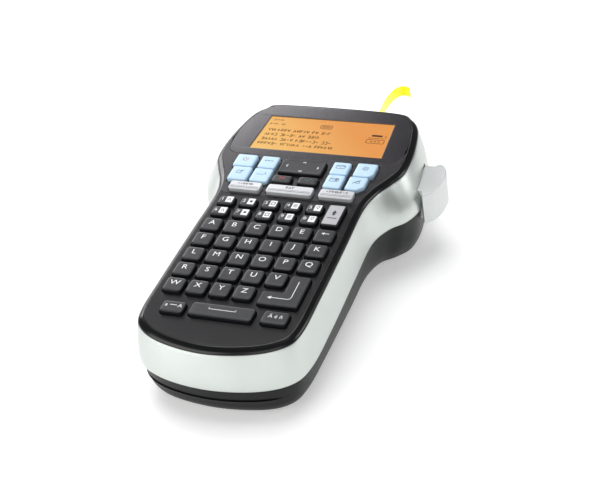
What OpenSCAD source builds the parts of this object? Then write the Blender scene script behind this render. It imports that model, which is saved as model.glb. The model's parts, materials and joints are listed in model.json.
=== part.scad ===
// Handheld label maker: keyboard, backlit display, side cutter lever and a printed label leaving the rear slot.
// World frame: +Z up, +Y towards the head, origin on the flat underside, midway across the case.
// Deck frame: the keyboard face, raised by deck_h and tilted by tilt, with z = 0 on the face itself.

/* [Case] */
// Height of the keyboard face above the underside, at the first letter row
deck_h = 46; // [44:1:50]
// Rise of the keyboard face towards the head, in degrees
tilt = 5; // [4:0.5:6]
// Depth of the dark cover plate
cover_t = 2.6; // [2.4:0.1:3]
// Depth below the face at which the silver band meets the lower case
band_z = 22; // [20:0.5:24]
// Wall thickness of the moulded shells
wall = 2.2; // [1.8:0.1:2.6]
// Line left open between neighbouring shells
seam = 0.25; // [0.15:0.05:0.4]

/* [Keys] */
// Distance between letter columns
pitch_x = 11.7; // [11.5:0.1:12]
// Distance between letter rows
pitch_y = 11.7; // [11.5:0.1:12]
// Width of a letter key
key_w = 9.6; // [9:0.1:10]
// Depth of a letter key, front to back
key_d = 9.5; // [9:0.1:10]
// Height of the key tops above the face
key_rise = 1.9; // [1.4:0.1:2.4]
// Clearance round each key
key_gap = 0.4; // [0.35:0.05:0.5]
// How far a key travels
key_travel = 1; // [0.6:0.1:1.1]

/* [Display] */
// Width of the display window opening
lcd_w = 71; // [60:1:73]
// Height of the display window opening
lcd_d = 29.5; // [24:0.5:30.5]
// Centre of the display, measured from the first letter row
lcd_y = 85; // [84.5:0.5:86]

/* [Label] */
// Width of the label tape
tape_w = 6; // [6:1:9]
// Thickness of the label tape
tape_t = 0.3; // [0.2:0.05:0.4]

/* [Hidden] */
LETTERS = ["a", "b", "c", "d", "e", "f", "g", "h", "i", "j", "k", "l", "m",
           "n", "o", "p", "q", "r", "s", "t", "u", "v", "w", "x", "y", "z"];

// Place of the deck frame along the case
deck_y = -13;
// Right half of each outline from front centre to rear centre: cover plate and band edge in the deck
// frame, foot of the case in the world frame
COVER = [[0, -85.8], [21.5, -82.4], [35.1, -75.1], [40, -64.4], [40.4, -39], [40, 0], [39.6, 27.3],
         [42.4, 41], [47.3, 51.2], [51.1, 61.4], [50.9, 79], [47.3, 98.5], [41.4, 107.7], [33.2, 111.2],
         [0, 112.1]];
BAND = [[0, -88.9], [22.4, -85.8], [37, -78], [42.3, -65.3], [43.1, -39], [42.5, 0], [42.5, 25.4],
        [47.4, 38.5], [54.6, 46.3], [58.8, 58.5], [57.1, 76], [51.2, 97], [44.9, 108.7], [35.6, 113.6],
        [0, 115.5]];
FOOT = [[0, -94.1], [21.5, -91.2], [33.2, -84.3], [36.9, -72.6], [37, -48.1], [36.1, -9], [35.3, 18.4],
        [38.5, 34.1], [45.3, 41.9], [50.7, 51.7], [50.7, 69.3], [46.3, 88.9], [40.5, 97.7], [32.7, 101.1],
        [0, 102.4]];
LENS = [[0, 62.8], [30, 62.8], [42, 63], [45.8, 66.5], [47.2, 75], [46.4, 88], [43, 100], [37.6, 107.4],
        [29, 109.4], [0, 110]];
curve_n = 3;

// Places of the keys on the deck frame
digit_w = 8.6;
digit_d = 7;
DIGIT_ROWS = [20, 11];
SHIFT = [[28.4, 16.2], [9, 16.4]];
BACKSPACE = [[2.5 * pitch_x, 0], [key_w, key_d]];
CAPS = [[-23.4, -62.2], [11.4, 7.6]];
SPACE = [[0.6, -61.4], [31, 8.6]];
ACCENT = [[26.5, -61.2], [12.4, 8.4]];
NAVIGATION = [[-0.5, 52.9], [23.4, 11.6]];
CANCEL = [[-7.6, 41.5], [10.4, 6]];
OK = [[6.3, 41.8], [10.4, 6]];
BARS = [[[-24.4, 33.2], [17, 6.8]], [[-0.4, 33.2], [24.4, 6.8]], [[24.2, 33.2], [18, 6.8]]];
enter_x = [14.2, 33.8];
enter_y = [-53.2, -31.4];
enter_arm = 9.4;
// Lower left corner, size and corner cut of each blue key
BLUE = [[-38, 49.4, 11.2, 10.2, 0], [-24.4, 49.4, 9.8, 10.2, 0], [-36.6, 37.6, 10.6, 11.3, 0],
        [-24.6, 37.6, 10.2, 11.3, 0], [14.6, 49.4, 9.4, 10.4, 0], [27, 49.4, 10.8, 11.2, 2.4],
        [14.8, 37.9, 9.4, 11, 0], [26.4, 37.9, 9.8, 11, 3.2]];
key_base = -3.8;
flange_t = 0.8;
flange_out = 0.8;
// Narrow flange of the keys that stand close together
flange_slim = 0.15;
// Round rib under the navigation key, on which it rocks
rocker_r = 0.8;
rocker_w = 20;

// The knee of the lower case: its share of the upper edge, and its height as a share of that edge's height
knee_share = 0.55;
knee_rise = 0.42;
case_inset = 0.9;

// Inside the case
mat_t = 1.2;
// The mat lies a hair below the flange of a key at the end of its travel
mat_z = key_base - key_travel - mat_t - 0.1;
board_z = -8;
board_t = 1.6;
BOARD_POSTS = [[-29, -58], [29, -58], [-29, 14], [29, 14]];
board_post_r = 2;
panel_z = -6.4;
panel_t = 4;
lens_t = 1.6;
lens_gap = 0.35;
screw_r = 1.4;
screw_head_r = 2;
screw_head_t = 1.6;
post_r = 3.1;
SCREWS = [[-24, -72.5], [24, -72.5], [-40.5, 68.5], [40.5, 68.5], [-40, 95], [40, 95]];
screw_seat = -20;
boss_end = -14;
FEET = [[-30.5, -71], [30.5, -71], [-42, 72], [42, 72]];
foot_r = 4;
foot_t = 1.2;
foot_proud = 0.2;
door_t = 2;
door_gap = 0.5;
hinge_r = 2;
hinge_z = 2.6;
pin_r = 1;
pin_fit = 0.05;
// Hinge line, far edge, half width and half length of the hinge barrel of each underside door
CASSETTE_DOOR = [34.6, 93, 30, 20];
BATTERY_DOOR = [-73, -14, 24, 15];

// Label path, cutter and drive on the deck frame
tape_z = -15.6;
tape_x = 17.6;
LABEL = [[17.6, 95], [17.6, 110], [17.4, 125], [17.1, 135], [18, 142.8], [19.6, 148.2], [22.8, 151],
         [27.2, 149.8]];
roller_r = 4.2;
ROLLER = [22.6, 100.5];
module_mm = 0.8;
gear_n = 16;
pinion_n = 10;
mesh_dist = module_mm * (gear_n + pinion_n) / 2;
mesh_angle = -60;
PINION = ROLLER + mesh_dist * [cos(mesh_angle), sin(mesh_angle)];
gear_z = -21.5;
gear_t = 2.4;
motor_r = 7.4;
motor_h = 20;
shaft_r = 1;
CASSETTE = [[-29, 46], [15, 91.5]];
cassette_z = [-24, -8.3];
cassette_wall = 0.8;
SPOOL = [-9, 68];
spool_r = 17;
spool_post_r = 3;
hub_r = 6;
hub_proud = 0.3;
LEVER_PIVOT = [42, 57];
lever_pin_r = 1.5;
lever_z = [-29.5, -12];
slot_y = [60, 84];
eps = 0.01;
NORMAL_FACES = 48;

// A point of the deck frame in the world frame
function world(p) =
    [p.x, p.y * cos(tilt) - p.z * sin(tilt) + deck_y, p.y * sin(tilt) + p.z * cos(tilt) + deck_h];
// Deck depth of a level plane at world height h, at deck position y
function level_z(y, h) = (h - deck_h - y * sin(tilt)) / cos(tilt);
// A half outline closed by its mirror image
function whole(h) = concat(h, [for (i = [len(h) - 2 : -1 : 1]) [-h[i].x, h[i].y]]);
// One point of a smooth curve through p0, p1, p2 and p3, at t between p1 and p2
function smooth_at(p0, p1, p2, p3, t) =
    0.5 * ((2 * p1) + (p2 - p0) * t + (2 * p0 - 5 * p1 + 4 * p2 - p3) * t * t
    + (3 * p1 - p0 - 3 * p2 + p3) * t * t * t);
// A closed outline with n curve steps between neighbouring points
function smooth(p, n = curve_n) = [
    for (i = [0 : len(p) - 1], s = [0 : n - 1])
        smooth_at(p[(i + len(p) - 1) % len(p)], p[i], p[(i + 1) % len(p)], p[(i + 2) % len(p)], s / n)];
// An open curve through p
function smooth_open(p, n) = concat(
    [for (i = [0 : len(p) - 2], s = [0 : n - 1])
        smooth_at(p[max(i - 1, 0)], p[i], p[i + 1], p[min(i + 2, len(p) - 1)], s / n)],
    [p[len(p) - 1]]);
function unit(v) = v / norm(v);
function left_of(v) = [-v.y, v.x];
// An anticlockwise closed outline moved inwards by d
function inset(p, d) = [for (i = [0 : len(p) - 1])
    p[i] + d * left_of(unit(p[(i + 1) % len(p)] - p[(i + len(p) - 1) % len(p)]))];
function mix(a, b, t) = [for (i = [0 : len(a) - 1]) a[i] * (1 - t) + b[i] * t];
function ring_at(p, z) = [for (q = p) [q.x, q.y, z]];
// Rounded rectangle centred on c, with corner radius r and n steps a corner
function round_rect(c, size, r, n = 3) = [
    for (k = [0 : 3], s = [0 : n])
        let (a = 90 * k + 90 * s / n, sx = (k == 0 || k == 3) ? 1 : -1, sy = k < 2 ? 1 : -1)
        [c.x + sx * (size.x / 2 - r) + r * cos(a), c.y + sy * (size.y / 2 - r) + r * sin(a)]];
// Both sides of a strip of thickness t along the path p
function strip(p, t) = let (n = len(p), side = [for (i = [0 : n - 1])
        t / 2 * left_of(unit(p[min(i + 1, n - 1)] - p[max(i - 1, 0)]))])
    concat([for (i = [0 : n - 1]) p[i] - side[i]], [for (i = [n - 1 : -1 : 0]) p[i] + side[i]]);

cover_line = smooth(whole(COVER));
band_line = smooth(whole(BAND));
foot_line = smooth(whole(FOOT));
lens_line = smooth(whole(LENS));

module on_deck() {
    translate([0, deck_y, deck_h]) rotate([tilt, 0, 0]) children();
}

// A solid through a stack of rings, closed at both ends; the rings run anticlockwise, upwards
module loft(rings) {
    n = len(rings[0]);
    last = len(rings) - 1;
    points = [for (r = rings) for (p = r) p];
    sides = [for (k = [0 : last - 1], i = [0 : n - 1])
        for (f = [[k * n + i, (k + 1) * n + i, (k + 1) * n + (i + 1) % n],
                  [k * n + i, (k + 1) * n + (i + 1) % n, k * n + (i + 1) % n]]) f];
    polyhedron(points, concat([[for (i = [0 : n - 1]) i]],
        [[for (i = [n - 1 : -1 : 0]) last * n + i]], sides), convexity = 8);
}

// A band through a closed loop of rings, with no ends
module loft_loop(rings) {
    n = len(rings[0]);
    m = len(rings);
    polyhedron([for (r = rings) for (p = r) p], [for (k = [0 : m - 1], i = [0 : n - 1])
        for (f = [[k * n + i, ((k + 1) % m) * n + i, ((k + 1) % m) * n + (i + 1) % n],
                  [k * n + i, ((k + 1) % m) * n + (i + 1) % n, k * n + (i + 1) % n]]) f], convexity = 8);
}

module plate(outline, z, t) {
    translate([0, 0, z]) linear_extrude(t) polygon(outline);
}

module block(low, high) {
    translate(low) cube(high - low);
}

module post(c, r, z0, z1) {
    translate([c.x, c.y, z0]) cylinder(r = r, h = z1 - z0, $fn = NORMAL_FACES);
}

// A key: a soft-edged cap above the face and a wider flange that keeps it under the cover
module key(outline, out = flange_out) {
    loft([ring_at(outline, key_base + flange_t - eps), ring_at(outline, key_rise - 0.7),
          ring_at(inset(outline, 0.25), key_rise - 0.2), ring_at(inset(outline, 0.7), key_rise)]);
    plate(inset(outline, -out), key_base, flange_t);
}

module key_at(place, r = 1.6, out = flange_out) {
    on_deck() key(round_rect(place[0], place[1], r), out);
}

// Letters fill the rows left to right, five in the first, six in the next two, five and four in the others
function letter_row(i) = i < 5 ? 0 : i < 11 ? 1 : i < 17 ? 2 : i < 22 ? 3 : 4;
function letter_col(i) = i < 5 ? i : i < 11 ? i - 5 : i < 17 ? i - 11 : i < 22 ? i - 17 : i - 22;
function letter_place(i) = [[(letter_col(i) - 2.5) * pitch_x, -letter_row(i) * pitch_y], [key_w, key_d]];
function digit_place(i) = [[(i % 5 - 2.5) * pitch_x, DIGIT_ROWS[floor(i / 5)]], [digit_w, digit_d]];
// Outline of a blue key, with its outer lower corner cut where cut is above 0
function blue_outline(b) =
    let (x0 = b[0], y0 = b[1], x1 = b[0] + b[2], y1 = b[1] + b[3], c = b[4], r = 1.1)
    c == 0 ? round_rect([(x0 + x1) / 2, (y0 + y1) / 2], [b[2], b[3]], r) :
    [[x1, y0 + c], [x1, y1 - r], [x1 - r, y1], [x0 + r, y1],
     [x0, y1 - r], [x0, y0 + r], [x0 + r, y0], [x1 - c, y0]];
// Outline of the angled enter key
enter_outline = let (x0 = enter_x[0], x1 = enter_x[1], y0 = enter_y[0], y1 = enter_y[1], a = enter_arm, r = 1.2)
    [[x1, y0 + r], [x1, y1 - r], [x1 - r, y1], [x1 - a + r, y1], [x1 - a, y1 - r], [x1 - a, y0 + a + r],
     [x1 - a - r, y0 + a], [x0 + r, y0 + a], [x0, y0 + a - r], [x0, y0 + r], [x0 + r, y0], [x1 - r, y0]];

key_outlines = concat(
    [for (i = [0 : 25]) round_rect(letter_place(i)[0], letter_place(i)[1], 1.6)],
    [for (i = [0 : 9]) round_rect(digit_place(i)[0], digit_place(i)[1], 1.6)],
    [for (k = concat([SHIFT, BACKSPACE, CAPS, SPACE, ACCENT, NAVIGATION, CANCEL, OK], BARS))
        round_rect(k[0], k[1], 1.4)],
    [for (b = BLUE) blue_outline(b)],
    [enter_outline]);

module lever_slot(low, high) {
    block([48, slot_y[0], low], [70, slot_y[1], high]);
}

module top_fascia() {
    color("#2b2a2e") on_deck() difference() {
        union() {
            plate(cover_line, -cover_t, cover_t);
            for (c = SCREWS) post(c, post_r - 0.5, boss_end, -cover_t + eps);
        }
        translate([0, 0, -cover_t - 1]) linear_extrude(cover_t + 2)
            for (k = key_outlines) polygon(inset(k, -key_gap));
        plate(inset(lens_line, -lens_gap), -lens_t, lens_t + 1);
        block([-lcd_w / 2, lcd_y - lcd_d / 2, -cover_t - 1], [lcd_w / 2, lcd_y + lcd_d / 2, 0]);
        for (c = SCREWS) post(c, screw_r + pin_fit, boss_end - 1, -cover_t - 1.4);
    }
}

module silver_shell() {
    top = -cover_t - seam;
    levels = [0, 0.3, 0.62, 0.88, 1];
    swell = [0, 0.46, 0.83, 0.98, 0.97];
    outer = [for (i = [0 : 4]) ring_at(mix(cover_line, band_line, swell[i]), top + (-band_z - top) * levels[i])];
    inner = [for (i = [4, 2, 0]) ring_at(inset(mix(cover_line, band_line, swell[i]), wall),
        top + (-band_z - top) * levels[i])];
    color("#c3c5c4") on_deck() difference() {
        loft_loop([for (r = concat(outer, inner)) r]);
        lever_slot(-band_z - 1, lever_z[1] + 1.2);
        block([tape_x - 1, 104, -18.5], [tape_x + 1, 120, -5.5]);
        block([-30.5, 104, -16.5], [-19.5, 120, -9.5]);
        block([-14, 104, -15.2], [-5, 120, -10.8]);
    }
}

module lower_case() {
    top = [for (p = inset(band_line, case_inset)) world([p.x, p.y, -band_z - seam])];
    top_in = [for (p = inset(band_line, case_inset + wall)) world([p.x, p.y, -band_z - seam])];
    knee = [for (i = [0 : len(top) - 1]) let (f = foot_line[i])
        [top[i].x * knee_share + f.x * (1 - knee_share), top[i].y * knee_share + f.y * (1 - knee_share),
         top[i].z * knee_rise]];
    heel = ring_at(inset(foot_line, -0.3), 2.6);
    toe = ring_at(inset(foot_line, 2), 0.9);
    low_in = ring_at(inset(foot_line, wall + 1.4), 1.4);
    color("#3a3d3f") {
        difference() {
            union() {
                loft_loop([toe, heel, knee, top, top_in, low_in]);
                plate(inset(foot_line, 1.2), 0, wall);
                on_deck() {
                    for (c = SCREWS) post(c, post_r, level_z(c.y, wall / 2), boss_end - seam);
                    for (c = BOARD_POSTS)
                        post(c, board_post_r, level_z(c.y, wall / 2), board_z - 0.1);
                    post(LEVER_PIVOT, 2.6, level_z(LEVER_PIVOT.y, wall / 2), lever_z[0] - 0.4);
                    post(LEVER_PIVOT, lever_pin_r, lever_z[0] - 0.5, lever_z[1] + 2);
                }
            }
            for (d = [CASSETTE_DOOR, BATTERY_DOOR])
                block([-d[2] - door_gap, d[0] - 3.6, -1], [d[2] + door_gap, d[1] + door_gap, wall + 0.6]);
            on_deck() {
                for (c = SCREWS) {
                    post(c, screw_r + 0.3, level_z(c.y, -3), boss_end + 1);
                    post(c, screw_head_r + 0.3, level_z(c.y, -3), screw_seat);
                }
                lever_slot(lever_z[0] - 0.8, -band_z + 2);
            }
            for (c = FEET) post(c, foot_r + 0.1, -1, foot_t - foot_proud);
        }
        for (d = [CASSETTE_DOOR, BATTERY_DOOR], side = [-1, 1]) hinge_lug(d, side);
    }
}

// A bored lug beside each end of a door's barrel, on the edge of the opening
module hinge_lug(d, side) {
    x = side * (d[3] + 2.4);
    difference() {
        block([x - 1.6, d[0] - 6, 1.1], [x + 1.6, d[0] + 2.2, hinge_z + 2.2]);
        translate([x - 2, d[0], hinge_z]) rotate([0, 90, 0])
            cylinder(r = pin_r + pin_fit, h = 4, $fn = NORMAL_FACES);
    }
}

// An underside door with its hinge barrel and pins, and a finger notch at its free edge
module door(d) {
    difference() {
        union() {
            block([-d[2], d[0] + 3.2, 0], [d[2], d[1], door_t]);
            block([-d[3], d[0] - 0.2, 0.9], [d[3], d[0] + 3.4, door_t]);
            translate([-d[3], d[0], hinge_z]) rotate([0, 90, 0])
                cylinder(r = hinge_r, h = 2 * d[3], $fn = NORMAL_FACES);
            translate([-d[3] - 3.6, d[0], hinge_z]) rotate([0, 90, 0])
                cylinder(r = pin_r, h = 2 * d[3] + 7.2, $fn = NORMAL_FACES);
            block([-6, d[1] - 2, door_t - eps], [6, d[1], door_t + 2.4]);
        }
        for (k = [0 : 3]) block([-7, d[1] - 7 - 2 * k, -1], [7, d[1] - 6 - 2 * k, 0.4]);
    }
}

module cassette_door() {
    color("#34373a") door(CASSETTE_DOOR);
}

module battery_door() {
    color("#34373a") door(BATTERY_DOOR);
}

module display_window() {
    color("#4a4a50") on_deck() plate(lens_line, -lens_t, lens_t);
}

module display_panel() {
    color("#f0a848") on_deck() {
        block([-37, lcd_y - 16.4, panel_z], [37, lcd_y + 18.4, panel_z + panel_t - 0.8]);
        block([-lcd_w / 2 + 0.4, lcd_y - lcd_d / 2 + 0.4, panel_z + panel_t - 0.8 - eps],
              [lcd_w / 2 - 0.4, lcd_y + lcd_d / 2 - 0.4, panel_z + panel_t + 0.6]);
    }
}

// Sheet under the keys: narrow under the letters, wider under the head keys
module sheet_under_keys(side, z, t) {
    translate([0, 0, z]) linear_extrude(t) {
        translate([-side, -68]) square([2 * side, 114]);
        translate([-39, 46 - eps]) square([78, 16.2]);
    }
}

module keypad_mat() {
    color("#55565c") on_deck() {
        sheet_under_keys(35.6, mat_z, mat_t);
    }
}

module circuit_board() {
    color("#2f6b45") on_deck() {
        sheet_under_keys(34.6, board_z, board_t);
        block([-10, -30, board_z - 1.6], [4, -16, board_z]);
        block([12, 4, board_z - 1.4], [22, 12, board_z]);
        block([-26, 30, board_z - 2], [-16, 36, board_z]);
        block([-36, 92, -17.4], [-4, 93.6, -8]);
        difference() {
            block([-30, 93.6, -16.1], [-20, 111, -9.9]);
            translate([-25, 98, -13]) rotate([-90, 0, 0]) cylinder(r = 2.8, h = 20, $fn = NORMAL_FACES);
        }
        translate([-25, 97, -13]) rotate([-90, 0, 0]) cylinder(r = 0.8, h = 12, $fn = NORMAL_FACES);
        difference() {
            block([-13.5, 93.6, -14.9], [-5.5, 111.4, -11.1]);
            block([-12.9, 100, -14.4], [-6.1, 112, -11.6]);
        }
        block([-11.5, 99, -13.3], [-7.5, 110, -12.7]);
    }
}

module lever_outline() {
    polygon(concat(smooth_open([[60.4, 56.2], [64.4, 60], [67, 66.5], [67.6, 75], [66.2, 80.6], [63.6, 84],
                                [61, 84.4]], 3), [[58.4, 78], [60.2, 68], [60.6, 62]]));
}

module cutter_lever() {
    color("#d2d5d3") on_deck() difference() {
        union() {
            translate([0, 0, lever_z[0]]) linear_extrude(lever_z[1] - lever_z[0]) lever_outline();
            block([46, 62, lever_z[0] + 2.5], [61.5, 79, lever_z[1] - 1.5]);
            block([41, 57, lever_z[0] + 2.5], [48, 63.2, lever_z[1] - 1.5]);
            post(LEVER_PIVOT, 3.4, lever_z[0], lever_z[1]);
        }
        post(LEVER_PIVOT, lever_pin_r + pin_fit, lever_z[0] - 1, lever_z[1] + 1);
        block([49, 65, lever_z[0] - 1], [56.5, 76, lever_z[1] - 4]);
    }
}

module cutter_blade() {
    color("#b9bcc0") on_deck() {
        block([27, 105.2, -18.2], [37, 108, -6.8]);
        plate([[27.5, 106], [27.5, 106.8], [21.4, 106.5], [21.4, 106.3]], -17.5, 9.2);
    }
}

module tape_cassette() {
    middle = (CASSETTE[0] + CASSETTE[1]) / 2;
    size = CASSETTE[1] - CASSETTE[0];
    color("#e8e8e4") on_deck() {
        difference() {
            plate(round_rect(middle, size, 4), cassette_z[0], cassette_z[1] - cassette_z[0]);
            plate(round_rect(middle, size - [2 * cassette_wall, 2 * cassette_wall], 3.2),
                cassette_z[0] + cassette_wall, cassette_z[1] - cassette_z[0] - 2 * cassette_wall);
            block([tape_x - 7, 90, tape_z], [tape_x - 5, 93, tape_z + tape_w]);
        }
        post(SPOOL, spool_post_r, cassette_z[0] + cassette_wall / 2, cassette_z[1] - cassette_wall / 2);
    }
}

module tape_spool() {
    color("#f4e23a") on_deck() difference() {
        union() {
            post(SPOOL, spool_r, tape_z, tape_z + tape_w);
            post(SPOOL, hub_r, tape_z - hub_proud, tape_z + tape_w + hub_proud);
        }
        post(SPOOL, spool_post_r + pin_fit, tape_z - 2, tape_z + tape_w + 2);
    }
}

module label_tape() {
    color("#e6e600") on_deck() plate(strip(smooth_open(LABEL, 4), tape_t), tape_z, tape_w);
}

module print_head() {
    color("#8f9498") on_deck() {
        block([11, 95.6, -18.7], [16.2, 104, -6.9]);
        block([16.2 - eps, 98.6, -17.5], [17.1, 102.4, -7.4]);
    }
}

module platen_roller() {
    color("#26272a") on_deck() {
        post(ROLLER, roller_r, -18.2, -7.6);
        post(ROLLER, shaft_r, -19, -6.9);
    }
}

// A small spur gear with slim straight teeth
module gear(n, start) {
    root = module_mm * n / 2 - 1.0;
    tip = module_mm * n / 2 + 0.7;
    step = 360 / n;
    polygon([for (i = [0 : n - 1], c = [[root, -0.22], [tip, -0.1], [tip, 0.1], [root, 0.22]])
        c[0] * [cos(start + step * (i + c[1])), sin(start + step * (i + c[1]))]]);
}

module drive_gear() {
    color("#efece2") on_deck() difference() {
        union() {
            translate([ROLLER.x, ROLLER.y, gear_z]) linear_extrude(gear_t) gear(gear_n, mesh_angle);
            post(ROLLER, 2.4, gear_z + gear_t - eps, -19);
        }
        post(ROLLER, 0.9, gear_z - 1, -18);
    }
}

module motor_pinion() {
    color("#c9a24a") on_deck() difference() {
        translate([PINION.x, PINION.y, gear_z]) linear_extrude(gear_t)
            gear(pinion_n, mesh_angle + 180 + 180 / pinion_n);
        post(PINION, shaft_r + pin_fit, gear_z - 1, gear_z + gear_t + 1);
    }
}

module drive_motor() {
    color("#9da1a5") on_deck() {
        post(PINION, motor_r, gear_z - 1 - motor_h, gear_z - 1);
        post(PINION, 2.6, gear_z - 1 - eps, gear_z - 0.4);
        post(PINION, shaft_r, gear_z - 0.5, gear_z + gear_t + 1.4);
    }
}

module battery_pack() {
    color("#5b6a86") {
        block([-22.5, -70, 6], [22.5, -20, 9]);
        for (k = [-1, 0, 1]) translate([15 * k, -70, 14.5]) rotate([-90, 0, 0])
            cylinder(r = 7.2, h = 50, $fn = NORMAL_FACES);
    }
}

module rubber_feet() {
    color("#1d1e20") for (c = FEET) post(c, foot_r, -foot_proud, foot_t - foot_proud);
}

module case_screws() {
    color("#a7abaf") on_deck() for (c = SCREWS) difference() {
        union() {
            post(c, screw_head_r, screw_seat - screw_head_t, screw_seat);
            post(c, screw_r, screw_seat - eps, -cover_t - 2.4);
        }
        block([c.x - 1.3, c.y - 0.25, screw_seat - 3], [c.x + 1.3, c.y + 0.25, screw_seat - 1]);
        block([c.x - 0.25, c.y - 1.3, screw_seat - 3], [c.x + 0.25, c.y + 1.3, screw_seat - 1]);
    }
}

module letter_key(i) {
    color("#3b3d42") key_at(letter_place(i));
}

module digit_keys() {
    color("#3b3d42") for (i = [0 : 9]) key_at(digit_place(i));
}

module shift_key() {
    color("#9a9ba0") key_at(SHIFT, 1.4);
}

module backspace_key() {
    color("#3b3d42") key_at(BACKSPACE, 1.4);
}

module enter_key() {
    color("#3b3d42") on_deck() key(enter_outline);
}

module caps_key() {
    color("#3b3d42") key_at(CAPS, 1.4);
}

module space_key() {
    color("#3b3d42") key_at(SPACE, 1.4);
}

module accent_key() {
    color("#3b3d42") key_at(ACCENT, 1.4);
}

module navigation_key() {
    color("#3b3d42") union() {
        key_at(NAVIGATION, 1.4);
        on_deck() translate([NAVIGATION[0].x, NAVIGATION[0].y, key_base + flange_t / 2]) rotate([0, 90, 0])
            cylinder(r = rocker_r, h = rocker_w, center = true, $fn = NORMAL_FACES);
    }
}

module cancel_key() {
    color("#3b3d42") key_at(CANCEL, 1.4);
}

module ok_key() {
    color("#3b3d42") key_at(OK, 1.4);
}

module function_keys() {
    color("#a9cdee") for (b = BLUE) on_deck() key(blue_outline(b), flange_slim);
}

module bar_keys() {
    color("#b4b6b9") for (b = BARS) key_at(b, 1.4, flange_slim);
}

lower_case();
silver_shell();
top_fascia();
display_window();
display_panel();
circuit_board();
keypad_mat();
cutter_lever();
cutter_blade();
cassette_door();
battery_door();
tape_cassette();
tape_spool();
label_tape();
print_head();
platen_roller();
drive_gear();
motor_pinion();
drive_motor();
battery_pack();
rubber_feet();
case_screws();
for (i = [0 : 25]) letter_key(i);
digit_keys();
shift_key();
backspace_key();
enter_key();
caps_key();
space_key();
accent_key();
navigation_key();
cancel_key();
ok_key();
function_keys();
bar_keys();
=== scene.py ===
"""Looks of a handheld label maker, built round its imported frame.

Lengths are in millimetres, except in the studio at the end, which is in metres. The deck frame lies in the
keyboard face, z = 0 on the face. DECK turns it into metres of the row frame, and WORLD does the same for
shapes drawn in the row frame itself.
"""
import json
import math
import random

import bmesh
import bpy
from mathutils import Matrix, Vector

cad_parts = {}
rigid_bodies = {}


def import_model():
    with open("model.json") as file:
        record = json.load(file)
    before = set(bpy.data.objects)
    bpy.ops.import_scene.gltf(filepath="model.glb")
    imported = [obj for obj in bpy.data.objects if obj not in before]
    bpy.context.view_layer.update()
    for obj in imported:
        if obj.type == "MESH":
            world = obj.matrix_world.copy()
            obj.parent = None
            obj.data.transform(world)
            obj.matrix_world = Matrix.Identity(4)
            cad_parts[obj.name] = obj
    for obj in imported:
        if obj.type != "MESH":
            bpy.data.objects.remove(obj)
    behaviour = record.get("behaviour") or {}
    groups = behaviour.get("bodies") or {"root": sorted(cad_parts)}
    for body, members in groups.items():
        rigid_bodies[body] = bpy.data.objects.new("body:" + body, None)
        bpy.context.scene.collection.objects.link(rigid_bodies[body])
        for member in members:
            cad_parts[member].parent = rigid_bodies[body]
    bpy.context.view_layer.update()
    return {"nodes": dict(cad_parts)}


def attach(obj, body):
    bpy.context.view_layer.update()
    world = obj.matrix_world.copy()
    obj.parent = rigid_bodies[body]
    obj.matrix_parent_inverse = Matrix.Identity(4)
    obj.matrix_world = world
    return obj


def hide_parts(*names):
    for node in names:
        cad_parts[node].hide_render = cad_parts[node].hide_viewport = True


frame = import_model()
nodes = frame["nodes"]
links = bpy.context.scene.collection.objects

# ---------------------------------------------------------------- driving sizes
MM = 0.001
# The keyboard face: its tilt in degrees, and where its origin lies in the row frame
TILT = 5
DECK_Y = -13
DECK_H = 46
# Shells: the cover's thickness, depth of the band's lower edge, wall, seam, and how far the case stands back
COVER_T = 2.6
BAND_Z = 22
WALL = 2.2
SEAM = 0.25
CASE_INSET = 0.9
# Keys: pitch and size, height of the top over the face, depth of the base, gap round a key, flange reach
PITCH = 11.7
KEY_SIZE = (9.6, 9.5)
KEY_TOP = 1.9
KEY_BASE = -3.8
KEY_GAP = 0.4
FLANGE = 0.8
SLIM_FLANGE = 0.15
FLANGE_T = 0.8
DIGIT_SIZE = (8.6, 7)
DIGIT_ROWS = (20, 11)
DIGIT_R = 1.9
KEY_R = 1.4
# Line widths and thickness of the signs on keys and display
FINE = 0.28
BOLD = 0.35
INK_T = 0.04
# The window's opening, anticlockwise from the front right corner
LCD_WINDOW = [(36.4, 68.5), (34.6, 99.3), (-34.2, 98.8), (-35.9, 68.3)]
# The label: its place across, lower edge, width and thickness
TAPE_X = 17.6
TAPE_Z = -15.6
TAPE_W = 6
TAPE_T = 0.3
# The rim at the sides and behind the window, and the y range in which it narrows
RIM_W = 3.2
RIM_W_REAR = 1.75
NARROW_FROM = 107
NARROW_OVER = 4.5
# Where the keypad plate meets the head plate, half the gap there, and how far back the head plate reaches
SPLIT_Y = 28.1
SPLIT_GAP = 0.2
ARM_END = 74

DECK = (
    Matrix.Scale(MM, 4)
    @ Matrix.Translation((0, DECK_Y, DECK_H))
    @ Matrix.Rotation(math.radians(TILT), 4, "X")
)
WORLD = Matrix.Scale(MM, 4)

# Right half of each outline, from front centre to rear centre
COVER = [(0, -85.8), (21.5, -82.4), (35.1, -75.1), (40, -64.4), (40.4, -39), (40, 0), (39.6, 27.3),
         (42.4, 41), (47.3, 51.2), (51.1, 61.4), (50.9, 79), (47.3, 98.5), (41.4, 107.7), (33.2, 111.2),
         (0, 112.1)]
BAND = [(0, -88.9), (22.4, -85.8), (37, -78), (42.3, -65.3), (43.1, -39), (42.5, 0), (42.5, 25.4),
        (47.4, 38.5), (54.6, 46.3), (58.8, 58.5), (57.1, 76), (51.2, 97), (44.9, 108.7), (35.6, 113.6),
        (0, 115.5)]
FOOT = [(0, -94.1), (21.5, -91.2), (33.2, -84.3), (36.9, -72.6), (37, -48.1), (36.1, -9), (35.3, 18.4),
        (38.5, 34.1), (45.3, 41.9), (50.7, 51.7), (50.7, 69.3), (46.3, 88.9), (40.5, 97.7), (32.7, 101.1),
        (0, 102.4)]
LENS = [(0, 62.8), (30, 62.8), (42, 63), (45.8, 66.5), (47.2, 75), (46.4, 88), (43, 100), (37.6, 107.4),
        (29, 109.4), (0, 110)]
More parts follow.
